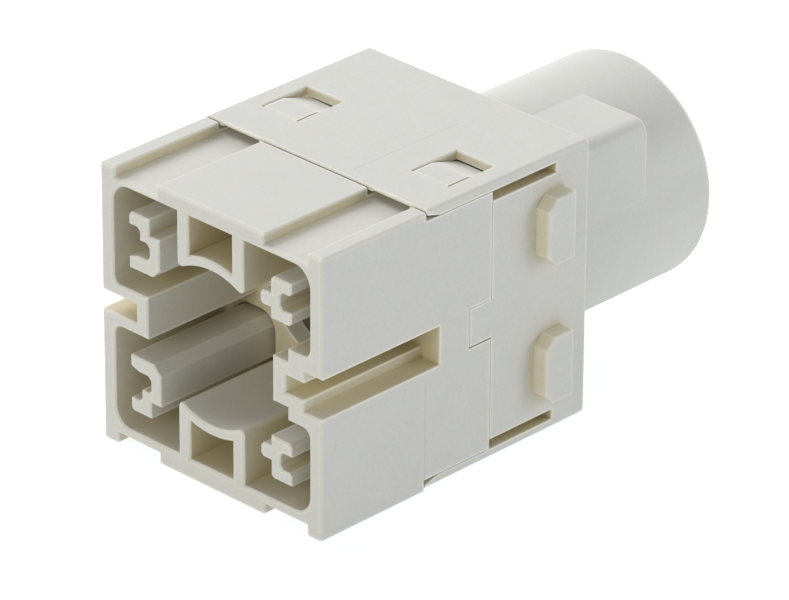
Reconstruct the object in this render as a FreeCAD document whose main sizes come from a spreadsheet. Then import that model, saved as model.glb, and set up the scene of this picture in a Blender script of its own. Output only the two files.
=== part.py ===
"""Double-width power insert for a modular rectangular connector, in two snapped mouldings.

Frame: origin on the contact axis at the mating face, X across, Y from the mating face
towards the cable, Z up. Lengths are millimetres.
"""
import FreeCAD
import Part
import Sketcher

import math
import os

doc = FreeCAD.newDocument("PowerInsert")
sheet = doc.addObject("Spreadsheet::Sheet", "Sizes")


class Length:
    """A length with its value and the spreadsheet formula that gives it."""

    def __init__(self, value, text):
        self.value = value
        self.text = text

    def __add__(self, other):
        return Length(self.value + length(other).value, f"({self.text} + {length(other).text})")

    def __sub__(self, other):
        return Length(self.value - length(other).value, f"({self.text} - {length(other).text})")

    def __mul__(self, factor):
        return Length(self.value * factor, f"({self.text} * {factor})")

    def __truediv__(self, factor):
        return Length(self.value / factor, f"({self.text} / {factor})")

    def __neg__(self):
        return Length(-self.value, f"(-1 * {self.text})")


def length(number):
    """A plain number as a Length, so that both can be added."""
    if isinstance(number, Length):
        return number
    return Length(float(number), f"{float(number)}")


ZERO = length(0)
row_count = 0


def size(alias, value, meaning):
    """Writes a driving dimension to the sheet and returns it."""
    global row_count
    row_count += 1
    sheet.set(f"A{row_count}", meaning)
    sheet.set(f"B{row_count}", str(value))
    sheet.setAlias(f"B{row_count}", alias)
    return Length(value, f"Sizes.{alias}")


# Overall sizes
body_width = size("body_width", 29.2, "width across the side faces, two module places")
front_height = size("front_height", 29.2, "height of the front body over its ribs")
axis_height = size("axis_height", 14.8, "contact axis above the front body's underside")
rear_height = size("rear_height", 29.1, "height of the rear body over its spring plates")
rib_length = size("rib_length", 13.6, "mating face to the end of the ribs and pads")
seam_depth = size("seam_depth", 22.45, "mating face to the seam at the side")
seam_gap = size("seam_gap", 0.06, "open joint between the two mouldings")
box_depth = size("box_depth", 35.75, "mating face to the rear face of the box")

# Front body: shell and cavity
side_wall = size("side_wall", 1.6, "side wall of the cavity")
cavity_height = size("cavity_height", 25.5, "height of the cavity")
cavity_depth = size("cavity_depth", 14.5, "mating face to the end wall")
cavity_round = size("cavity_round", 2.0, "radius of the cavity's four long corners")
end_wall = size("end_wall", 2.0, "thickness of the end wall")
chamber_wall = size("chamber_wall", 1.7, "wall round the chamber behind the end wall")
mating_radius = size("mating_radius", 8.1, "round space for the mating socket")
contact_radius = size("contact_radius", 6.5, "bore for the contact's shank")
rib_width = size("rib_width", 1.9, "outer ribs on the top and underside")
recess_width = size("recess_width", 5.65, "recess between an outer rib and the pad")
recess_drop = size("recess_drop", 1.08, "depth of the recess")
seat_gap = size("seat_gap", 0.05, "clearance under the spring plates")

# Front body: the hollow cells above and below the axis
cell_width = size("cell_width", 8.8, "outer width of a cell")
cell_side = size("cell_side", 1.55, "side wall of a cell")
cell_arch = size("cell_arch", 1.05, "arched wall of a cell")
cell_depth = size("cell_depth", 13.0, "depth of a cell")
foot_round = size("foot_round", 0.5, "long edges where a cell's sides meet the round space")

# Front body: slot on the left and stepped channel on the right
groove_length = size("groove_length", 15.6, "length of the side slot and channel")
slot_height = size("slot_height", 2.0, "height of the left slot")
slot_reach = size("slot_reach", 4.6, "left slot's depth from the side face")
slot_tip_wall = size("slot_tip_wall", 1.55, "wall at the inner end of the left slot")
slot_cover = size("slot_cover", 1.2, "wall above and below the left slot")
channel_height = size("channel_height", 4.1, "height of the right channel's outer step")
channel_reach = size("channel_reach", 2.4, "outer step's depth from the side face")
channel_back = size("channel_back", 2.05, "wall behind the outer step")
channel_cover = size("channel_cover", 1.65, "wall above and below the outer step")
tip_height = size("tip_height", 1.8, "height of the right channel's inner step")
tip_reach = size("tip_reach", 2.38, "inner step's depth past the outer step")
tip_cover = size("tip_cover", 1.45, "wall above and below the inner step")
tip_wall = size("tip_wall", 1.65, "wall at the inner end of the channel")
wall_round = size("wall_round", 0.9, "radius where those walls meet the side walls")

# Guide posts of the rear body
post_top = size("post_top", 10.5, "outer end of every post from the axis height")
post_arm = size("post_arm", 1.35, "thickness of a post's arms")
left_post_edge = size("left_post_edge", 10.85, "open edge of the left posts from the axis")
left_post_width = size("left_post_width", 4.05, "width of a left post")
left_post_height = size("left_post_height", 5.9, "height of a left post")
left_post_web = size("left_post_web", 1.35, "back wall of a left post")
left_post_cut = size("left_post_cut", 0.95, "cut corner of a left post")
left_post_notch = size("left_post_notch", 1.75, "height of a left post's inner notch")
left_post_lip = size("left_post_lip", 1.1, "part of a left post's notch that is open above")
right_post_edge = size("right_post_edge", 10.65, "open edge of the right posts from the axis")
right_post_width = size("right_post_width", 2.7, "width of a right post without its nub")
right_post_height = size("right_post_height", 4.4, "height of a right post")
right_post_web = size("right_post_web", 1.2, "back wall of a right post")
nub_reach = size("nub_reach", 1.35, "nub of a right post towards the axis")
nub_height = size("nub_height", 1.5, "height of the nub")
notch_cut = size("notch_cut", 0.35, "cut inner corners of a post's notch")
post_clearance = size("post_clearance", 1.0, "room round a post in the end wall")
left_hole_room = size("left_hole_room", 0.35, "room beside a left post, towards the axis")
left_hole_round = size("left_hole_round", 1.7, "corner radius of the end wall's left holes")
right_hole_round = size("right_hole_round", 2.3, "corner radius of the end wall's right holes")

# Snap joint: spring plates with windows, latch tongues with noses
plate_front = size("plate_front", 13.8, "mating face to the spring plates' front edge")
plate_thickness = size("plate_thickness", 0.95, "thickness of a spring plate")
plate_slot = size("plate_slot", 1.05, "slot under a spring plate")
plate_root = size("plate_root", 31.1, "mating face to the root of the spring plates")
plate_lead_height = size("plate_lead_height", 0.5, "lead-in under the plates' front edge")
plate_lead_length = size("plate_lead_length", 1.7, "length of that lead-in")
window_pitch = size("window_pitch", 19.8, "distance between the two windows of a plate")
window_width = size("window_width", 4.8, "width of a window")
window_front = size("window_front", 18.95, "mating face to a window's front edge")
window_length = size("window_length", 6.05, "length of a window")
ramp_height = size("ramp_height", 0.65, "lead-in in front of a window")
ramp_length = size("ramp_length", 3.4, "length of the lead-in in front of a window")
nose_gap = size("nose_gap", 0.2, "clearance beside a latch nose")
nose_front_gap = size("nose_front_gap", 0.03, "clearance in front of a latch nose")
nose_sink = size("nose_sink", 0.06, "top of a nose below the plate's face")
nose_flat = size("nose_flat", 2.55, "flat top of a nose")
nose_slope = size("nose_slope", 3.4, "sloped back of a nose")
tongue_thickness = size("tongue_thickness", 0.85, "thickness of a latch tongue")

# Rear body: keys, lugs, collar and bores
key_length = size("key_length", 2.9, "side key in front of the seam")
key_height = size("key_height", 4.0, "height of a side key")
key_rise = size("key_rise", 0.33, "middle of a side key above the axis")
key_gap_above = size("key_gap_above", 0.03, "clearance above a side key")
key_gap_below = size("key_gap_below", 0.14, "clearance below a side key")
lug_pitch = size("lug_pitch", 14.6, "distance between the lugs, one module place")
lug_front = size("lug_front", 28.45, "mating face to a lug's front")
lug_length = size("lug_length", 3.7, "length of a lug along the insert")
lug_height = size("lug_height", 7.0, "height of a lug")
lug_rise = size("lug_rise", 0.1, "middle of the two lugs above the axis")
lug_reach = size("lug_reach", 1.75, "lug's height off the side face")
lug_cut = size("lug_cut", 1.1, "cut front corners of a lug")
collar_radius = size("collar_radius", 11.75, "outside radius of the collar")
collar_length = size("collar_length", 21.2, "length of the collar behind the box")
collar_round = size("collar_round", 1.0, "radius of the collar's end edge")
cable_radius = size("cable_radius", 9.75, "bore for the crimped contact and cable")
shoulder_depth = size("shoulder_depth", 29.0, "mating face to the contact's shoulder")
mouth_cut = size("mouth_cut", 0.6, "chamfer at the cable bore's mouth")
corner_reach = size("corner_reach", 11.4, "squared corner's faces from the axis")
corner_length = size("corner_length", 11.7, "squared corner behind the box")
corner_round = size("corner_round", 1.6, "long edge of the squared corner")
core_depth = size("core_depth", 5.0, "depth of the core-outs in the box's front")
core_width = size("core_width", 8.0, "width of a core-out")
core_height = size("core_height", 2.6, "height of a core-out")
core_wall = size("core_wall", 2.0, "wall between the contact bore and a core-out")

# Rounded edges
rim_cut = size("rim_cut", 0.2, "broken edges of the rims at the mating face")
post_cut = size("post_cut", 0.18, "broken edges of the guide posts' front ends")
pad_round = size("pad_round", 0.2, "long edges of the ribs and pads")
front_side_round = size("front_side_round", 0.3, "front body's outer long edges")
nose_round = size("nose_round", 0.1, "leading edge of a latch nose")
plate_round = size("plate_round", 0.45, "spring plates' and box's outer long edges")
plate_front_cut = size("plate_front_cut", 0.12, "broken front edge of the spring plates")
window_cut = size("window_cut", 0.12, "broken rims of the windows")
box_round = size("box_round", 0.4, "rear edges of the box")
lug_round = size("lug_round", 0.25, "outer edges of the lugs")
hole_cut = size("hole_cut", 0.4, "chamfered rims of the end wall's post holes")
corner_end_round = size("corner_end_round", 0.3, "end edges of the squared corner")

# Sizes that follow from them
half_width = body_width / 2
front_bottom = -axis_height
front_top = front_height - axis_height
rear_top = rear_height / 2
plate_under = rear_top - plate_thickness
seat_top = plate_under - seat_gap
core_top = plate_under - plate_slot
cavity_side = half_width - side_wall
cavity_top = cavity_height / 2
chamber_top = seat_top - chamber_wall
wall_back = cavity_depth + end_wall
nose_start = window_front + nose_front_gap
box_front = seam_depth + seam_gap
collar_end = box_depth + collar_length
through_width = body_width + rib_width


def new_body(name):
    body = doc.addObject("PartDesign::Body", name)
    body.Label = name
    body.Placement = FreeCAD.Placement()
    return body


def origin_plane(body, role):
    return next(item for item in body.Origin.OriginFeatures if item.Role == role)


def new_sketch(body, name, role, shift):
    """Sketch on an origin plane, moved along the plane's normal."""
    sketch = body.newObject("Sketcher::SketchObject", name)
    sketch.AttachmentSupport = [(origin_plane(body, role), "")]
    sketch.MapMode = "FlatFace"
    sketch.setExpression("AttachmentOffset.Base.z", shift.text)
    return sketch


def bind(sketch, kind, references, value):
    """Adds a dimension to the sketch and ties it to its formula."""
    index = sketch.addConstraint(Sketcher.Constraint(kind, *references, value.value))
    sketch.setExpression(f"Constraints[{index}]", value.text)


def hold(sketch, geometry, point, place):
    """Holds a point of the sketch by its two distances from the origin."""
    bind(sketch, "DistanceX", (-1, 1, geometry, point), place[0])
    bind(sketch, "DistanceY", (-1, 1, geometry, point), place[1])


def outline(sketch, points):
    """Closed outline of straight runs through the points."""
    places = [FreeCAD.Vector(u.value, v.value, 0) for u, v in points]
    first = sketch.GeometryCount
    count = len(points)
    for number in range(count):
        sketch.addGeometry(Part.LineSegment(places[number], places[(number + 1) % count]), False)
    for number in range(count):
        after = first + (number + 1) % count
        sketch.addConstraint(Sketcher.Constraint("Coincident", first + number, 2, after, 1))
        hold(sketch, first + number, 1, points[number])


def rectangle(sketch, left, right, bottom, top):
    outline(sketch, [(left, bottom), (right, bottom), (right, top), (left, top)])


def circle(sketch, radius):
    """Circle about the sketch's origin, which is the contact axis."""
    number = sketch.addGeometry(
        Part.Circle(FreeCAD.Vector(), FreeCAD.Vector(0, 0, 1), radius.value), False
    )
    sketch.addConstraint(Sketcher.Constraint("Coincident", number, 3, -1, 1))
    bind(sketch, "Radius", (number,), radius)


def along_depth(body, kind, name, start, end, draw):
    """Pad or pocket along Y, from one depth behind the mating face to another."""
    sketch = new_sketch(body, name + "_outline", "XZ_Plane", -start)
    draw(sketch)
    feature = body.newObject("PartDesign::" + kind, name)
    feature.Profile = sketch
    feature.setExpression("Length", (end - start).text)
    feature.Reversed = kind == "Pad"
    return feature


def across(body, kind, name, centre, width, draw):
    """Pad or pocket along X, centred on a place, from an outline in Y and Z."""
    sketch = new_sketch(body, name + "_outline", "YZ_Plane", centre)
    draw(sketch)
    feature = body.newObject("PartDesign::" + kind, name)
    feature.Profile = sketch
    feature.Midplane = True
    feature.setExpression("Length", width.text)
    return feature


def mirror(body, name, features, role):
    """Mirrors features across an origin plane through the axis."""
    mirrored = body.newObject("PartDesign::Mirrored", name)
    mirrored.Originals = features
    mirrored.MirrorPlane = (origin_plane(body, role), [""])
    body.Tip = mirrored
    return mirrored


CLOSE_ENOUGH = 0.001


def close(value, target):
    return abs(value - target) < CLOSE_ENOUGH


def edge_names(shape, test):
    """Names of the edges that pass a test, for a fillet or chamfer."""
    return [f"Edge{number + 1}" for number, edge in enumerate(shape.Edges) if test(edge)]


def runs_along(edge, direction):
    """True for a straight edge parallel to a direction."""
    if not isinstance(edge.Curve, Part.Line):
        return False
    return close(abs(edge.Curve.Direction.dot(FreeCAD.Vector(*direction))), 1.0)


def soften(body, kind, name, radius, test):
    """Fillet or chamfer on every edge of the tip that passes the test."""
    doc.recompute()
    tip = body.Tip
    names = edge_names(tip.Shape, test)
    if not names:
        raise ValueError(f"{name} finds no edge")
    feature = body.newObject("PartDesign::" + kind, name)
    feature.Base = (tip, names)
    feature.setExpression("Radius" if kind == "Fillet" else "Size", radius.text)
    doc.recompute()
    return feature


def long_edges_at(places):
    """Test for edges along Y that stand at one of the X, Z places."""

    def test(edge):
        if not runs_along(edge, (0, 1, 0)):
            return False
        point = edge.Vertexes[0].Point
        return any(close(point.x, x.value) and close(point.z, z.value) for x, z in places)

    return test


def within(**spans):
    """Test for edges that lie between two places along each axis that is given."""

    def test(edge):
        first = edge.FirstParameter
        run = edge.LastParameter - first
        points = [edge.valueAt(first + run * share) for share in (0, 0.25, 0.5, 0.75, 1)]
        return all(
            low.value - CLOSE_ENOUGH <= getattr(point, axis) <= high.value + CLOSE_ENOUGH
            for axis, (low, high) in spans.items()
            for point in points
        )

    return test


def any_of(*tests):
    return lambda edge: any(test(edge) for test in tests)


def four_ways(x, z):
    return [(x, z), (-x, z), (x, -z), (-x, -z)]


def left_post(sketch):
    """C profile open to the left, with a stepped notch and a cut corner."""
    left = -left_post_edge
    right = left + left_post_width
    bottom = post_top - left_post_height
    web = right - left_post_web
    notch_bottom = bottom + post_arm + notch_cut / 2
    notch_top = notch_bottom + left_post_notch
    lip = left + left_post_lip
    outline(
        sketch,
        [
            (left, bottom),
            (right - left_post_cut, bottom),
            (right, bottom + left_post_cut),
            (right, post_top - post_arm - notch_cut),
            (web, post_top - post_arm - notch_cut),
            (web, post_top),
            (left + notch_cut, post_top),
            (left, post_top - notch_cut),
            (left, post_top - post_arm),
            (lip, post_top - post_arm),
            (lip + notch_cut, post_top - post_arm - notch_cut),
            (lip + notch_cut, notch_top),
            (web - notch_cut, notch_top),
            (web, notch_top - notch_cut),
            (web, notch_bottom + notch_cut),
            (web - notch_cut, notch_bottom),
            (lip, notch_bottom),
            (left, bottom + post_arm - notch_cut / 2),
        ],
    )


def right_post(sketch):
    """C profile open to the right, with a nub towards the axis."""
    right = right_post_edge
    left = right - right_post_width
    bottom = post_top - right_post_height
    web = left + right_post_web
    notch_bottom = bottom + post_arm
    notch_top = post_top - post_arm
    nub_bottom = bottom + right_post_height / 2 - nub_height / 2 - notch_cut
    nub_top = nub_bottom + nub_height
    outline(
        sketch,
        [
            (left, bottom),
            (right - notch_cut, bottom),
            (right, bottom + notch_cut),
            (right, notch_bottom),
            (web + notch_cut, notch_bottom),
            (web, notch_bottom + notch_cut),
            (web, notch_top - notch_cut),
            (web + notch_cut, notch_top),
            (right - notch_cut, notch_top),
            (right, notch_top + notch_cut),
            (right, post_top),
            (left + notch_cut, post_top),
            (left, post_top - notch_cut),
            (left, nub_top),
            (left - nub_reach + notch_cut, nub_top),
            (left - nub_reach, nub_top - notch_cut),
            (left - nub_reach, nub_bottom + notch_cut),
            (left - nub_reach + notch_cut, nub_bottom),
            (left, nub_bottom),
        ],
    )


# Left, right, lower and upper edges of the upper post holes in the end wall
left_hole = (
    -left_post_edge - post_clearance,
    left_post_width - left_post_edge + left_hole_room,
    post_top - left_post_height - left_hole_room,
    post_top + post_clearance,
)
right_hole = (
    right_post_edge - right_post_width - nub_reach / 2 - post_clearance,
    right_post_edge - notch_cut + post_clearance,
    post_top - right_post_height - post_clearance,
    post_top + post_clearance,
)


def corners_of(box):
    left, right, bottom, top = box
    return [(x, z) for x in (left, right) for z in (bottom, top)]


def both_halves(places):
    """The same places above and below the axis."""
    return places + [(x, -z) for x, z in places]


# Front body: the mating-side moulding
front = new_body("front_body")


def front_shell():
    """Outer block with its ribs and pads, and the lower seat under the spring plates.

    The recesses run back under the plates to the latch noses.
    """
    along_depth(
        front, "Pad", "shell", ZERO, rib_length,
        lambda s: rectangle(s, -half_width, half_width, front_bottom, front_top),
    )
    along_depth(
        front, "Pad", "seat", rib_length, seam_depth,
        lambda s: rectangle(s, -half_width, half_width, -seat_top, seat_top),
    )
    recess_outer = half_width - rib_width
    recess_inner = recess_outer - recess_width
    for side, inner, outer in (("left", -recess_outer, -recess_inner), ("right", recess_inner, recess_outer)):
        along_depth(
            front, "Pocket", f"top_recess_{side}", ZERO, nose_start,
            lambda s: rectangle(s, inner, outer, front_top - recess_drop, front_top + recess_drop),
        )
        along_depth(
            front, "Pocket", f"under_recess_{side}", ZERO, nose_start,
            lambda s: rectangle(s, inner, outer, front_bottom - recess_drop, front_bottom + recess_drop),
        )


def front_cavity():
    """Mating cavity with rounded long corners, and the chamber behind the end wall."""
    along_depth(
        front, "Pocket", "cavity", ZERO, cavity_depth,
        lambda s: rectangle(s, -cavity_side, cavity_side, -cavity_top, cavity_top),
    )
    soften(front, "Fillet", "cavity_corners", cavity_round, long_edges_at(four_ways(cavity_side, cavity_top)))
    inner = half_width - chamber_wall
    along_depth(
        front, "Pocket", "chamber", wall_back, seam_depth,
        lambda s: rectangle(s, -inner, inner, -chamber_top, chamber_top),
    )


def front_cells_and_walls():
    """Blocks for the two cells, the left slot's wall and the right channel's stepped wall."""
    half_cell = cell_width / 2
    inside = mating_radius / 2
    for place, low, high in (("top", inside, cavity_top), ("under", -cavity_top, -inside)):
        along_depth(
            front, "Pad", f"{place}_cell", ZERO, cavity_depth,
            lambda s: rectangle(s, -half_cell, half_cell, low, high),
        )
    slot_half = slot_height / 2 + slot_cover
    along_depth(
        front, "Pad", "slot_wall", ZERO, cavity_depth,
        lambda s: rectangle(s, -cavity_side, slot_reach + slot_tip_wall - half_width, -slot_half, slot_half),
    )
    step_face = half_width - channel_reach - channel_back
    tip_face = half_width - channel_reach - tip_reach - tip_wall
    step_half = channel_height / 2 + channel_cover
    tip_half = tip_height / 2 + tip_cover
    along_depth(
        front, "Pad", "channel_wall", ZERO, cavity_depth,
        lambda s: outline(
            s,
            [
                (cavity_side, -step_half), (cavity_side, step_half), (step_face, step_half),
                (step_face, tip_half), (tip_face, tip_half), (tip_face, -tip_half),
                (step_face, -tip_half), (step_face, -step_half),
            ],
        ),
    )
    soften(
        front, "Fillet", "wall_corners", wall_round,
        long_edges_at([(cavity_side, step_half), (cavity_side, -step_half),
                       (-cavity_side, slot_half), (-cavity_side, -slot_half)]),
    )
    along_depth(front, "Pocket", "mating_space", ZERO, cavity_depth, lambda s: circle(s, mating_radius))
    foot = length(math.sqrt(mating_radius.value ** 2 - half_cell.value ** 2))
    soften(front, "Fillet", "cell_feet", foot_round, long_edges_at(four_ways(half_cell, foot)))


def cell_opening(sketch):
    """Opening of a cell, with its lower edge an arc about the contact axis."""
    half = cell_width / 2 - cell_side
    radius = mating_radius + cell_arch
    low = math.sqrt(radius.value ** 2 - half.value ** 2)
    left_foot = FreeCAD.Vector(-half.value, low, 0)
    right_foot = FreeCAD.Vector(half.value, low, 0)
    left_head = FreeCAD.Vector(-half.value, cavity_top.value, 0)
    right_head = FreeCAD.Vector(half.value, cavity_top.value, 0)
    start = math.atan2(low, half.value)
    arch = Part.ArcOfCircle(
        Part.Circle(FreeCAD.Vector(), FreeCAD.Vector(0, 0, 1), radius.value), start, math.pi - start
    )
    for line in ((left_foot, left_head), (left_head, right_head), (right_head, right_foot)):
        sketch.addGeometry(Part.LineSegment(*line), False)
    sketch.addGeometry(arch, False)
    for link in ((0, 2, 1, 1), (1, 2, 2, 1), (2, 2, 3, 1), (3, 2, 0, 1), (3, 3, -1, 1)):
        sketch.addConstraint(Sketcher.Constraint("Coincident", *link))
    sketch.addConstraint(Sketcher.Constraint("Vertical", 0))
    sketch.addConstraint(Sketcher.Constraint("Vertical", 2))
    hold(sketch, 1, 1, (-half, cavity_top))
    hold(sketch, 1, 2, (half, cavity_top))
    bind(sketch, "Radius", (3,), radius)


def front_openings():
    """Cell openings, the left slot, the stepped channel, the contact bore and the post holes."""
    opening = along_depth(front, "Pocket", "cell_opening", ZERO, cell_depth, cell_opening)
    mirror(front, "under_cell_opening", [opening], "XY_Plane")
    slot_half = slot_height / 2
    along_depth(
        front, "Pocket", "left_slot", ZERO, groove_length,
        lambda s: rectangle(s, -half_width - rib_width, slot_reach - half_width, -slot_half, slot_half),
    )
    step = half_width - channel_reach
    tip = step - tip_reach
    step_half = channel_height / 2
    tip_half = tip_height / 2
    beyond = half_width + rib_width
    along_depth(
        front, "Pocket", "right_channel", ZERO, groove_length,
        lambda s: outline(
            s,
            [
                (beyond, -step_half), (beyond, step_half), (step, step_half), (step, tip_half),
                (tip, tip_half), (tip, -tip_half), (step, -tip_half), (step, -step_half),
            ],
        ),
    )
    along_depth(front, "Pocket", "contact_bore", cavity_depth, wall_back, lambda s: circle(s, contact_radius))
    for side, box, radius in (("left", left_hole, left_hole_round), ("right", right_hole, right_hole_round)):
        hole = along_depth(
            front, "Pocket", f"{side}_post_hole", cavity_depth, wall_back, lambda s: rectangle(s, *box)
        )
        mirror(front, f"{side}_post_hole_below", [hole], "XY_Plane")
        soften(
            front, "Fillet", f"{side}_hole_corners", radius, long_edges_at(both_halves(corners_of(box)))
        )
    key_under = key_rise - key_height / 2 - key_gap_below
    key_over = key_rise + key_height / 2 + key_gap_above
    across(
        front, "Pocket", "key_notches", ZERO, through_width,
        lambda s: rectangle(s, seam_depth - key_length, seam_depth + key_length, key_under, key_over),
    )


def front_latches():
    """Four tongues under the spring plates, each with a ramped nose in a window."""
    flat_end = nose_start + nose_flat
    slope_end = flat_end + nose_slope
    nose_top = rear_top - nose_sink
    tongue_top = core_top + nose_gap / 2 + tongue_thickness
    tongue_under = core_top + nose_gap / 2
    tongue = across(
        front, "Pad", "latch_tongue", window_pitch / 2, window_width - nose_gap * 2,
        lambda s: outline(
            s,
            [
                (nose_start, tongue_under), (slope_end, tongue_under), (slope_end, tongue_top),
                (flat_end, nose_top), (nose_start, nose_top),
            ],
        ),
    )
    mirror(front, "left_tongue", [tongue], "YZ_Plane")
    below = across(
        front, "Pad", "under_tongue", window_pitch / 2, window_width - nose_gap * 2,
        lambda s: outline(
            s,
            [
                (nose_start, -tongue_under), (nose_start, -nose_top), (flat_end, -nose_top),
                (slope_end, -tongue_top), (slope_end, -tongue_under),
            ],
        ),
    )
    mirror(front, "left_under_tongue", [below], "YZ_Plane")


def front_edges():
    """Rounded outer edges and pads, broken rims, and chamfered rims of the post holes."""
    recess_outer = half_width - rib_width
    recess_inner = recess_outer - recess_width
    sides = (front_top, front_bottom)
    soften(front, "Chamfer", "mating_rims", rim_cut, within(y=(ZERO, ZERO)))
    soften(
        front, "Fillet", "outer_edges", front_side_round,
        long_edges_at([(x, z) for x in (half_width, -half_width) for z in sides]),
    )
    soften(
        front, "Fillet", "pad_edges", pad_round,
        long_edges_at([(x * way, z) for x in (recess_outer, recess_inner) for way in (1, -1) for z in sides]),
    )
    soften(
        front, "Chamfer", "hole_rims", hole_cut,
        any_of(*[
            within(y=(cavity_depth, cavity_depth), x=(left, right), z=span)
            for left, right, bottom, top in (left_hole, right_hole)
            for span in ((bottom, top), (-top, -bottom))
        ]),
    )
    nose_top = rear_top - nose_sink
    soften(
        front, "Fillet", "nose_edges", nose_round,
        any_of(
            within(y=(nose_start, nose_start), z=(nose_top, nose_top)),
            within(y=(nose_start, nose_start), z=(-nose_top, -nose_top)),
        ),
    )


front_shell()
front_cavity()
front_cells_and_walls()
front_openings()
front_latches()
front_edges()

# Rear body: the cable-side moulding
rear = new_body("rear_body")


def rear_box():
    """Box behind the seam, with the full height only behind the root of the spring plates."""
    along_depth(
        rear, "Pad", "box_core", box_front, plate_root,
        lambda s: rectangle(s, -half_width, half_width, -core_top, core_top),
    )
    along_depth(
        rear, "Pad", "box_end", plate_root, box_depth,
        lambda s: rectangle(s, -half_width, half_width, -rear_top, rear_top),
    )
    plate = along_depth(
        rear, "Pad", "spring_plate", plate_front, plate_root,
        lambda s: rectangle(s, -half_width, half_width, plate_under, rear_top),
    )
    lead = across(
        rear, "Pocket", "plate_lead", ZERO, through_width,
        lambda s: outline(
            s,
            [
                (plate_front, plate_under), (plate_front + plate_lead_length, plate_under),
                (plate_front, plate_under + plate_lead_height),
            ],
        ),
    )
    windows = []
    for side, middle in (("left", -window_pitch / 2), ("right", window_pitch / 2)):
        windows.append(across(
            rear, "Pocket", f"{side}_window", middle, window_width,
            lambda s: rectangle(
                s, window_front, window_front + window_length,
                plate_under - seat_gap, rear_top + plate_thickness,
            ),
        ))
        windows.append(across(
            rear, "Pocket", f"{side}_ramp", middle, window_width,
            lambda s: outline(
                s,
                [
                    (plate_front, plate_under), (plate_front + ramp_length, plate_under),
                    (plate_front, plate_under + ramp_height),
                ],
            ),
        ))
    mirror(rear, "under_plate", [plate, lead] + windows, "XY_Plane")


def rear_collar():
    """Round collar with a squared corner, and the two bores on the axis."""
    along_depth(rear, "Pad", "collar", box_depth, collar_end, lambda s: circle(s, collar_radius))
    soften(
        rear, "Fillet", "collar_edge", collar_round,
        lambda edge: isinstance(edge.Curve, Part.Circle) and close(edge.CenterOfMass.y, collar_end.value),
    )
    along_depth(
        rear, "Pad", "squared_corner", box_depth, box_depth + corner_length,
        lambda s: rectangle(s, ZERO, corner_reach, ZERO, corner_reach),
    )
    soften(rear, "Fillet", "squared_corner_edge", corner_round, long_edges_at([(corner_reach, corner_reach)]))
    along_depth(rear, "Pocket", "cable_bore", shoulder_depth, collar_end, lambda s: circle(s, cable_radius))
    along_depth(
        rear, "Pocket", "contact_bore", box_front, shoulder_depth, lambda s: circle(s, contact_radius)
    )
    soften(
        rear, "Chamfer", "bore_mouth", mouth_cut,
        lambda edge: isinstance(edge.Curve, Part.Circle)
        and close(edge.CenterOfMass.y, collar_end.value)
        and close(edge.Curve.Radius, cable_radius.value),
    )


def rear_cores():
    """Core-outs in the front of the box, above, below and beside the contact bore."""
    half = core_width / 2
    low = contact_radius + core_wall
    upright = along_depth(
        rear, "Pocket", "top_core", box_front, box_front + core_depth,
        lambda s: rectangle(s, -half, half, low, low + core_height),
    )
    mirror(rear, "under_core", [upright], "XY_Plane")
    beside = along_depth(
        rear, "Pocket", "right_core", box_front, box_front + core_depth,
        lambda s: rectangle(s, low, low + core_height, -half, half),
    )
    mirror(rear, "left_core", [beside], "YZ_Plane")


def rear_posts():
    """Four guide posts that stand on the box's front and end flush with the mating face."""
    for side, draw in (("left", left_post), ("right", right_post)):
        post = along_depth(rear, "Pad", f"{side}_post", ZERO, box_front, draw)
        mirror(rear, f"{side}_post_below", [post], "XY_Plane")


def rear_keys_and_lugs():
    """A key in front of the seam and two locking lugs on each side."""
    under = key_rise - key_height / 2
    key = along_depth(
        rear, "Pad", "right_key", box_front - key_length, box_front,
        lambda s: rectangle(s, half_width - side_wall, half_width, under, under + key_height),
    )
    mirror(rear, "left_key", [key], "YZ_Plane")
    sketch = new_sketch(rear, "right_lug_outline", "YZ_Plane", half_width)
    low = lug_pitch / 2 + lug_rise - lug_height / 2
    high = low + lug_height
    under_high = high - lug_pitch
    under_low = low - lug_pitch
    lug_end = lug_front + lug_length
    outline(
        sketch,
        [
            (lug_front + lug_cut, low), (lug_end, low), (lug_end, high), (lug_front + lug_cut, high),
            (lug_front, high - lug_cut), (lug_front, low + lug_cut),
        ],
    )
    lug = rear.newObject("PartDesign::Pad", "right_lug")
    lug.Profile = sketch
    lug.setExpression("Length", lug_reach.text)
    mirror(rear, "left_lug", [lug], "YZ_Plane")
    low_sketch = new_sketch(rear, "right_lower_lug_outline", "YZ_Plane", half_width)
    outline(
        low_sketch,
        [
            (lug_front + lug_cut, under_high), (lug_front, under_high - lug_cut),
            (lug_front, under_low + lug_cut), (lug_front + lug_cut, under_low),
            (lug_end, under_low), (lug_end, under_high),
        ],
    )
    lower = rear.newObject("PartDesign::Pad", "right_lower_lug")
    lower.Profile = low_sketch
    lower.setExpression("Length", lug_reach.text)
    mirror(rear, "left_lower_lug", [lower], "YZ_Plane")


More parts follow.
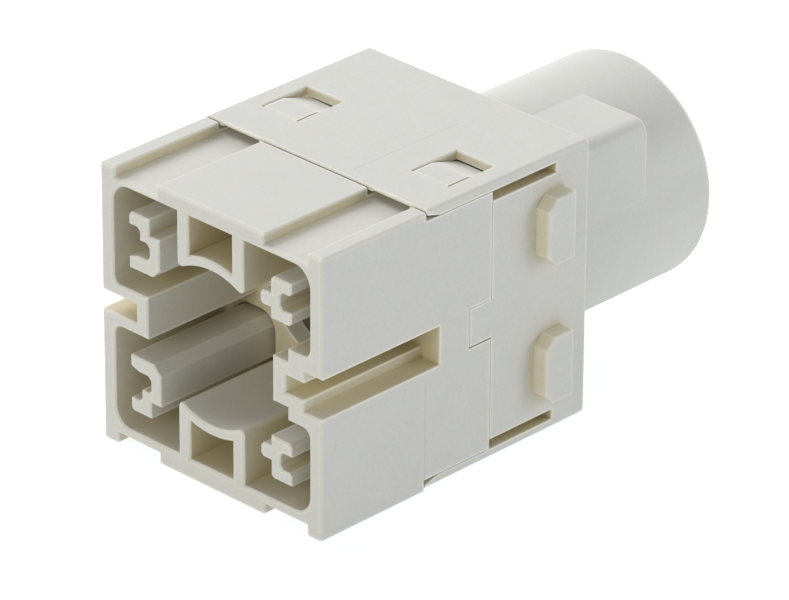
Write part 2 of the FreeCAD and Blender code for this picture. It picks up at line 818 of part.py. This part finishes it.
def rear_edges():
    """Rounded edges of the box, plates, squared corner and lugs, broken edges elsewhere."""
    soften(rear, "Chamfer", "post_ends", post_cut, within(y=(ZERO, ZERO)))
    window_end = window_front + window_length
    soften(
        rear, "Chamfer", "window_rims", window_cut,
        any_of(*[within(z=(z, z), y=(window_front, window_end)) for z in (rear_top, -rear_top)]),
    )
    front_line = (plate_front, plate_front)
    soften(
        rear, "Chamfer", "plate_fronts", plate_front_cut,
        any_of(*[within(z=(z, z), y=front_line) for z in (rear_top, -rear_top)]),
    )
    soften(rear, "Fillet", "outer_edges", plate_round, long_edges_at(four_ways(half_width, rear_top)))
    last = (box_depth, box_depth)
    side_edges = [within(x=(x, x), y=last) for x in (half_width, -half_width)]
    flat_edges = [within(z=(z, z), y=last) for z in (rear_top, -rear_top)]
    soften(rear, "Fillet", "box_edges", box_round, any_of(*side_edges, *flat_edges))
    corner_end = box_depth + corner_length
    soften(
        rear, "Fillet", "squared_corner_end", corner_end_round,
        within(y=(corner_end, corner_end)),
    )
    lug_face = half_width + lug_reach
    soften(
        rear, "Fillet", "lug_edges", lug_round,
        any_of(within(x=(lug_face, lug_face)), within(x=(-lug_face, -lug_face))),
    )


rear_box()
rear_collar()
rear_cores()
rear_posts()
rear_keys_and_lugs()
rear_edges()

doc.recompute()

for item in doc.Objects:
    if "Invalid" in item.State or "Error" in item.State:
        raise ValueError(f"{item.Name} failed: {item.State}")

os.makedirs("parts", exist_ok=True)
for body in (front, rear):
    shape = body.Shape
    if shape.isNull() or not shape.isValid() or len(shape.Solids) != 1:
        raise ValueError(f"{body.Label} is not one valid solid")
    shape.exportStep(f"parts/{body.Label}.step")
    print(body.Label, f"volume {shape.Volume:.1f} mm3", shape.BoundBox)
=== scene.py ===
"""Looks of the heavy duty connector insert: two snapped mouldings of pebble-grey plastic."""
import math

import bpy
from mathutils import Matrix, Vector


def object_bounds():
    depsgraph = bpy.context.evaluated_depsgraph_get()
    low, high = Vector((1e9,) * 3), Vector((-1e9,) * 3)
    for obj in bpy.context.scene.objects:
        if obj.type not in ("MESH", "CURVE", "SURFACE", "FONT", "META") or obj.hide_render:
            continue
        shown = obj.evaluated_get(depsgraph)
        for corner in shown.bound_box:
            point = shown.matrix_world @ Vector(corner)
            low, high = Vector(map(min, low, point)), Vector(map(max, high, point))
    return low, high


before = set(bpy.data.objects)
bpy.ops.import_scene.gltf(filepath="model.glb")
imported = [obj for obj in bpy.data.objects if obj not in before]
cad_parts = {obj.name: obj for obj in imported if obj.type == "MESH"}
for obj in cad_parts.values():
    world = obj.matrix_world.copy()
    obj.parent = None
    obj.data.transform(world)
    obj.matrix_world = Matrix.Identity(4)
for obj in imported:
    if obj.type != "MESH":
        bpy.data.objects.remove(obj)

MM = 0.001
cad_low, cad_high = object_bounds()


# Front body
# The mating-side half: an open box with two cells, a side slot, a stepped channel and four
# latch noses. It is injection moulded in one shot of filled polycarbonate, dyed pebble grey,
# in a tool with a fine spark-eroded finish.
front_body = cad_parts["front_body"]


def new_group(name, inputs, outputs):
    """Shader node group with named inputs and outputs, as {name: (socket type, default)}."""
    group = bpy.data.node_groups.new(name, "ShaderNodeTree")
    for socket_name, (kind, default) in inputs.items():
        socket = group.interface.new_socket(socket_name, in_out="INPUT", socket_type=kind)
        socket.default_value = default
    for socket_name, kind in outputs.items():
        group.interface.new_socket(socket_name, in_out="OUTPUT", socket_type=kind)
    source = group.nodes.new("NodeGroupInput")
    result = group.nodes.new("NodeGroupOutput")
    return group, source.outputs, result.inputs


def node(tree, kind, settings=None, **inputs):
    """New node with its settings, and its inputs set to a value or linked to an output.

    An input is given by its name, or as i0, i1 and so on by its number.
    """
    made = tree.nodes.new(kind)
    for key, value in (settings or {}).items():
        setattr(made, key, value)
    for key, value in inputs.items():
        socket = made.inputs[int(key[1:])] if key[0] == "i" and key[1:].isdigit() else made.inputs[key]
        if isinstance(value, bpy.types.NodeSocket):
            tree.links.new(value, socket)
        else:
            socket.default_value = value
    return made


PIT_SHARE = 0.75
FAINT_SPECKLE, FULL_SPECKLE = 0.36, 0.64


def spark_eroded_finish():
    """Fine pits of the tool's finish, with the slight mottle of filled plastic."""
    group, source, result = new_group(
        "spark_eroded_finish",
        {
            "Pit size": ("NodeSocketFloat", 0.3 * MM),
            "Mottle size": ("NodeSocketFloat", 3 * MM),
            "Light": ("NodeSocketColor", (0.7, 0.7, 0.7, 1)),
            "Dark": ("NodeSocketColor", (0.65, 0.65, 0.65, 1)),
            "Smooth": ("NodeSocketFloat", 0.45),
            "Rough": ("NodeSocketFloat", 0.55),
        },
        {"Color": "NodeSocketColor", "Roughness": "NodeSocketFloat", "Height": "NodeSocketFloat"},
    )
    place = node(group, "ShaderNodeTexCoord").outputs["Object"]
    pit_scale = node(group, "ShaderNodeMath", {"operation": "DIVIDE"}, i0=1.0, i1=source["Pit size"])
    pits = node(group, "ShaderNodeTexNoise", Vector=place, Scale=pit_scale.outputs[0], Detail=2.0)
    mottle_scale = node(group, "ShaderNodeMath", {"operation": "DIVIDE"}, i0=1.0, i1=source["Mottle size"])
    mottle = node(group, "ShaderNodeTexNoise", Vector=place, Scale=mottle_scale.outputs[0], Detail=4.0)
    faint = node(
        group, "ShaderNodeMath", {"operation": "MULTIPLY"},
        i0=mottle.outputs["Fac"], i1=1 - PIT_SHARE,
    )
    speckle = node(
        group, "ShaderNodeMath", {"operation": "MULTIPLY_ADD"},
        i0=pits.outputs["Fac"], i1=PIT_SHARE, i2=faint.outputs[0],
    )
    spread = node(group, "ShaderNodeMapRange", i0=speckle.outputs[0], i1=FAINT_SPECKLE, i2=FULL_SPECKLE)
    tint = node(
        group, "ShaderNodeMix", {"data_type": "RGBA"},
        i0=spread.outputs[0], i6=source["Dark"], i7=source["Light"],
    )
    finish = node(
        group, "ShaderNodeMix", {"data_type": "FLOAT"},
        i0=spread.outputs[0], i2=source["Smooth"], i3=source["Rough"],
    )
    group.links.new(tint.outputs[2], result["Color"])
    group.links.new(finish.outputs[0], result["Roughness"])
    group.links.new(pits.outputs["Fac"], result["Height"])
    return group


SQUARE_ENOUGH = 0.9


def witness_line():
    """Mask of the thin raised line where two parts of the tool met, straight across one flat face; the line
    is drawn as a painted shade, not as relief.
    """
    group, source, result = new_group(
        "witness_line",
        {
            "Along": ("NodeSocketVector", (0, 1, 0)),
            "Across": ("NodeSocketVector", (1, 0, 0)),
            "Facing": ("NodeSocketVector", (0, 0, 1)),
            "Place": ("NodeSocketFloat", 0.0),
            "Start": ("NodeSocketFloat", 0.0),
            "End": ("NodeSocketFloat", 1.0),
            "Width": ("NodeSocketFloat", 0.1 * MM),
        },
        {"Line": "NodeSocketFloat"},
    )
    place = node(group, "ShaderNodeTexCoord").outputs["Object"]
    normal = node(group, "ShaderNodeNewGeometry").outputs["True Normal"]

    def part_along(vector, direction):
        dot = node(group, "ShaderNodeVectorMath", {"operation": "DOT_PRODUCT"}, i0=vector, i1=direction)
        return dot.outputs["Value"]

    across = part_along(place, source["Across"])
    along = part_along(place, source["Along"])
    facing = part_along(normal, source["Facing"])
    near = node(
        group, "ShaderNodeMath", {"operation": "COMPARE"},
        i0=across, i1=source["Place"], i2=source["Width"],
    )
    after = node(group, "ShaderNodeMath", {"operation": "GREATER_THAN"}, i0=along, i1=source["Start"])
    before = node(group, "ShaderNodeMath", {"operation": "LESS_THAN"}, i0=along, i1=source["End"])
    outward = node(group, "ShaderNodeMath", {"operation": "GREATER_THAN"}, i0=facing, i1=SQUARE_ENOUGH)
    line = near
    for limit in (after, before, outward):
        line = node(
            group, "ShaderNodeMath", {"operation": "MULTIPLY"},
            i0=line.outputs[0], i1=limit.outputs[0],
        )
    group.links.new(line.outputs[0], result["Line"])
    return group


# How much air or plastic lies round a place: from where a mask starts to where it is full.
IN_THE_OPEN, DEEP_INSIDE = 0.88, 0.3
AT_A_CORNER, IN_A_SLIT = 0.5, 0.2
ON_A_FLAT, AT_AN_EDGE = 0.96, 0.55


def painted_light_masks():
    """Masks for painted light: painted shade deep between walls and in a narrow gap, and a painted highlight
    at a thin sharp edge.
    """
    group, source, result = new_group(
        "painted_light_masks",
        {
            "Deep reach": ("NodeSocketFloat", 14 * MM),
            "Gap reach": ("NodeSocketFloat", 0.4 * MM),
            "Edge reach": ("NodeSocketFloat", 0.35 * MM),
        },
        {"Deep": "NodeSocketFloat", "Gap": "NodeSocketFloat", "Edge": "NodeSocketFloat"},
    )
    open_air = node(
        group, "ShaderNodeAmbientOcclusion", {"samples": 8, "only_local": True}, Distance=source["Deep reach"]
    )
    deep = node(group, "ShaderNodeMapRange", i0=open_air.outputs["AO"], i1=IN_THE_OPEN, i2=DEEP_INSIDE)
    near_air = node(group, "ShaderNodeAmbientOcclusion", {"samples": 8}, Distance=source["Gap reach"])
    gap = node(group, "ShaderNodeMapRange", i0=near_air.outputs["AO"], i1=AT_A_CORNER, i2=IN_A_SLIT)
    inward = node(
        group, "ShaderNodeAmbientOcclusion", {"samples": 8, "inside": True, "only_local": True},
        Distance=source["Edge reach"],
    )
    edge = node(group, "ShaderNodeMapRange", i0=inward.outputs["AO"], i1=ON_A_FLAT, i2=AT_AN_EDGE)
    group.links.new(deep.outputs[0], result["Deep"])
    group.links.new(gap.outputs[0], result["Gap"])
    group.links.new(edge.outputs[0], result["Edge"])
    return group


finish_group = spark_eroded_finish()
line_group = witness_line()
light_masks_group = painted_light_masks()
# Painted light in the plastic's colour: a browner painted shade deep in hollows, a dark painted shade in
# narrow gaps and seams, a cream painted highlight along sharp edges, and a painted shade along the witness
# line.
DEEP_PAINTED_SHADE = (0.98, 0.88, 0.62, 1)
GAP_PAINTED_SHADE = (0.35, 0.28, 0.18, 1)
EDGE_PAINTED_HIGHLIGHT = (0.94, 0.91, 0.79, 1)
EDGE_HIGHLIGHT_STRENGTH = 0.85
LINE_PAINTED_SHADE = (0.86, 0.86, 0.86, 1)
PEBBLE_LIGHT = (0.690, 0.680, 0.618, 1)
PEBBLE_DARK = (0.655, 0.645, 0.583, 1)
EDGE_ROUND = 0.1 * MM
PIT_DEPTH = 0.02 * MM
LINE_WIDTH = 0.05 * MM


def moulded_plastic(name, line):
    """Matt dyed polycarbonate, with painted shade that is browner deep between walls and darker in gaps, and
    a painted cream highlight at thin edges.
    """
    material = bpy.data.materials.new(name)
    material.use_nodes = True
    tree = material.node_tree
    shader = tree.nodes["Principled BSDF"]
    shader.inputs["IOR"].default_value = 1.58
    shader.inputs["Specular IOR Level"].default_value = 0.4
    shader.inputs["Subsurface Weight"].default_value = 0.25
    shader.inputs["Subsurface Radius"].default_value = (1.0, 0.8, 0.5)
    shader.inputs["Subsurface Scale"].default_value = 0.5 * MM
    finish = node(tree, "ShaderNodeGroup", {"node_tree": finish_group}, Light=PEBBLE_LIGHT, Dark=PEBBLE_DARK)
    witness = node(tree, "ShaderNodeGroup", {"node_tree": line_group}, Width=LINE_WIDTH, **line)
    body = node(tree, "ShaderNodeGroup", {"node_tree": light_masks_group})
    # Painted shade: darker and browner deep between walls, where shade falls.
    deep_shaded = node(
        tree, "ShaderNodeMix", {"data_type": "RGBA", "blend_type": "MULTIPLY"},
        i6=finish.outputs["Color"], i7=DEEP_PAINTED_SHADE, i0=body.outputs["Deep"],
    )
    # Painted highlight: a lighter cream along sharp outer edges, where light catches them.
    thin = node(tree, "ShaderNodeMath", {"operation": "MULTIPLY"}, i0=body.outputs["Edge"], i1=EDGE_HIGHLIGHT_STRENGTH)
    edge_lit = node(
        tree, "ShaderNodeMix", {"data_type": "RGBA"},
        i6=deep_shaded.outputs[2], i7=EDGE_PAINTED_HIGHLIGHT, i0=thin.outputs[0],
    )
    # Painted shade: dark brown in narrow gaps and seams between the parts.
    narrow = node(
        tree, "ShaderNodeMix", {"data_type": "RGBA", "blend_type": "MULTIPLY"},
        i6=edge_lit.outputs[2], i7=GAP_PAINTED_SHADE, i0=body.outputs["Gap"],
    )
    # Painted shade along the witness line, in place of the shading of its relief.
    shade = node(
        tree, "ShaderNodeMix", {"data_type": "RGBA", "blend_type": "MULTIPLY"},
        i6=narrow.outputs[2], i7=LINE_PAINTED_SHADE, i0=witness.outputs["Line"],
    )
    rounded = node(tree, "ShaderNodeBevel", {"samples": 4}, Radius=EDGE_ROUND)
    bump = node(
        tree, "ShaderNodeBump", Strength=0.12, Distance=PIT_DEPTH,
        Height=finish.outputs["Height"], Normal=rounded.outputs["Normal"],
    )
    tree.links.new(shade.outputs[2], shader.inputs["Base Color"])
    tree.links.new(finish.outputs["Roughness"], shader.inputs["Roughness"])
    tree.links.new(bump.outputs["Normal"], shader.inputs["Normal"])
    return material


front_plastic = moulded_plastic(
    "front_plastic",
    line={
        "Along": (0, 0, -1), "Across": (0, 1, 0), "Facing": (1, 0, 0),
        "Place": 13.7 * MM, "Start": 3.6 * MM, "End": 13.4 * MM,
    },
)
front_body.data.materials.clear()
front_body.data.materials.append(front_plastic)


# Rear body
# The cable-side half: the box with its spring plates, side keys, lugs, collar and guide posts.
# It is moulded in the same plastic, and its windows snap over the front body's latch noses.
rear_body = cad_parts["rear_body"]
rear_plastic = moulded_plastic(
    "rear_plastic",
    line={
        "Along": (0, 1, 0), "Across": (1, 0, 0), "Facing": (0, 0, 1),
        "Place": 3.6 * MM, "Start": 15.2 * MM, "End": 29.5 * MM,
    },
)
rear_body.data.materials.clear()
rear_body.data.materials.append(rear_plastic)


# Table
# A white acrylic sheet lit from below, under the insert, which stands on its front ribs and
# lower pad. It is wide enough to reach past every view.
TABLE_REACH = 3.0
TABLE_GLOW = 0.49
TABLE_SEEN = 0.75
TABLE_COLOR = (0.5, 0.5, 0.5, 1)
TABLE_GLOW_COLOR = (0.96, 1, 1.04, 1)


def white_sheet():
    mesh = bpy.data.meshes.new("table")
    corners = [(-1, -1), (1, -1), (1, 1), (-1, 1)]
    mesh.from_pydata([(x * TABLE_REACH, y * TABLE_REACH, cad_low.z) for x, y in corners], [], [(0, 1, 2, 3)])
    sheet = bpy.data.objects.new("table", mesh)
    bpy.context.scene.collection.objects.link(sheet)
    material = bpy.data.materials.new("lit_acrylic")
    material.use_nodes = True
    tree = material.node_tree
    tree.nodes.clear()
    seen = node(tree, "ShaderNodeLightPath").outputs["Is Camera Ray"]
    sheet_white = node(tree, "ShaderNodeBsdfDiffuse", Color=TABLE_COLOR)
    glow = node(tree, "ShaderNodeMix", {"data_type": "FLOAT"}, i0=seen, i2=TABLE_GLOW, i3=TABLE_SEEN)
    lit = node(tree, "ShaderNodeEmission", Color=TABLE_GLOW_COLOR, Strength=glow.outputs[0])
    both = node(tree, "ShaderNodeAddShader", i0=sheet_white.outputs[0], i1=lit.outputs[0])
    node(tree, "ShaderNodeOutputMaterial", Surface=both.outputs[0])
    mesh.materials.append(material)
    return sheet


white_sheet()


# Light
# A white studio tent gives even light from all round, and four large soft boxes shape it: a
# main one high on the left, a warm one in front, one behind and one behind on the right.
def studio_tent():
    """White surround, plain white where it is seen, and dimmer and cooler as a light."""
    world = bpy.data.worlds.new("studio_tent")
    world.use_nodes = True
    bpy.context.scene.world = world
    tree = world.node_tree
    tree.nodes.clear()
    rays = node(tree, "ShaderNodeLightPath").outputs
    shown = rays["Is Camera Ray"]
    for kind in ("Is Glossy Ray", "Is Transmission Ray"):
        either = node(tree, "ShaderNodeMath", {"operation": "MAXIMUM"}, i0=shown, i1=rays[kind])
        shown = either.outputs[0]
    backdrop = node(tree, "ShaderNodeBackground", Color=(1, 1, 1, 1), Strength=1.0)
    glow = node(tree, "ShaderNodeBackground", Color=(0.93, 0.97, 1.1, 1), Strength=0.28)
    mixed = node(
        tree, "ShaderNodeMixShader",
        i0=shown, i1=glow.outputs[0], i2=backdrop.outputs[0],
    )
    node(tree, "ShaderNodeOutputWorld", Surface=mixed.outputs[0])


middle = (cad_low + cad_high) / 2


def soft_box(name, place, size, power, color):
    """Square lamp aimed at the middle of the insert."""
    lamp = bpy.data.lights.new(name, "AREA")
    lamp.shape = "SQUARE"
    lamp.size = size
    lamp.energy = power
    lamp.color = color
    box = bpy.data.objects.new(name, lamp)
    box.location = place
    box.rotation_mode = "QUATERNION"
    box.rotation_quaternion = (middle - Vector(place)).to_track_quat("-Z", "Y")
    bpy.context.scene.collection.objects.link(box)


studio_tent()
soft_box("high_left_box", place=(-0.6, 0.05, 0.45), size=0.45, power=4.35, color=(0.975, 0.985, 1.02))
soft_box("front_box", place=(0.15, -0.65, 0.25), size=0.4, power=1.5, color=(1.07, 1.01, 0.87))
soft_box("right_rear_box", place=(0.5, 0.55, 0.2), size=0.4, power=1.58, color=(0.96, 1.0, 1.02))
soft_box("rear_box", place=(-0.1, 0.7, 0.3), size=0.4, power=1.75, color=(1.0, 1.0, 1.0))


# Camera
# A long lens, slightly above and to the right of the mating face, as in the photograph.
CAMERA_AZIMUTH = math.radians(44.22)
CAMERA_ELEVATION = math.radians(27.135)
CAMERA_ROLL = math.radians(0.392)
CAMERA_DISTANCE = 593.6 * MM
CAMERA_LENS = 283.2
AIM_RIGHT = -2.466 * MM
AIM_UP = -4.474 * MM
BOX_CENTRE = Vector((0, 28 * MM, 0))


def photo_camera():
    data = bpy.data.cameras.new("photo_camera")
    data.sensor_width = 36.0
    data.lens = CAMERA_LENS
    data.clip_start = 0.01
    data.clip_end = 20.0
    camera = bpy.data.objects.new("photo_camera", data)
    bpy.context.scene.collection.objects.link(camera)
    turn = Matrix.Rotation(CAMERA_AZIMUTH, 3, "Z")
    tilt = Matrix.Rotation(math.pi / 2 - CAMERA_ELEVATION, 3, "X")
    roll = Matrix.Rotation(CAMERA_ROLL, 3, "Z")
    view = turn @ tilt @ roll
    aim = BOX_CENTRE + view @ Vector((AIM_RIGHT, AIM_UP, 0))
    camera.location = aim + view @ Vector((0, 0, CAMERA_DISTANCE))
    camera.rotation_euler = view.to_euler()
    return camera


bpy.context.scene.camera = photo_camera()
bpy.context.scene.view_settings.view_transform = "Standard"
